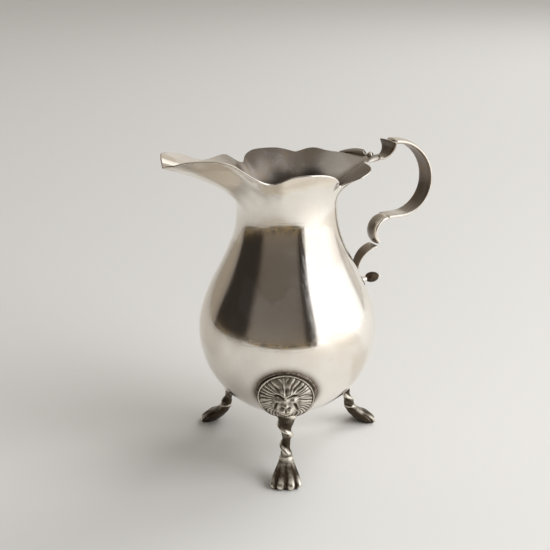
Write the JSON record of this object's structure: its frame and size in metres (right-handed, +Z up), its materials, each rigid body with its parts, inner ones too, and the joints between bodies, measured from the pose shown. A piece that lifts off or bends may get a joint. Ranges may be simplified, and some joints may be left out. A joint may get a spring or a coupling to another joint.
{
  "type": "silver cream jug",
  "caption": "Pear-shaped footed cream jug with a wavy rim, wide pouring lip, flying scroll handle and cast legs with lion masks and paws.",
  "frame": {"origin": "on the table under the middle of the jug's box; the body's own axis is about 7 mm towards -X from it", "axes": "+Z up, handle towards +X, pouring lip towards -X"},
  "size_m": [0.107, 0.068, 0.1145],
  "materials": {
    "polished_silver": "hand-polished silver with fine wear scratches",
    "cast_silver": "cast silver, bright on its high points and darkened in its recesses",
    "silver_solder": "dull, tarnished solder"
  },
  "bodies": {
    "root": {"body_shell": "polished_silver", "mask_handle": "cast_silver", "mask_left": "cast_silver", "mask_right": "cast_silver", "mask_solder_handle": "silver_solder", "mask_solder_left": "silver_solder", "mask_solder_right": "silver_solder", "stem_handle": "cast_silver", "stem_left": "cast_silver", "stem_right": "cast_silver", "paw_handle": "cast_silver", "paw_left": "cast_silver", "paw_right": "cast_silver", "thumb_leaf": "polished_silver", "rim_shoulder_left": "polished_silver", "rim_shoulder_right": "polished_silver", "main_scroll": "polished_silver", "small_scroll": "polished_silver", "tail_scroll": "polished_silver", "tail_solder": "silver_solder", "bud": "cast_silver", "bud_tip": "polished_silver"}
  },
  "joints": []
}
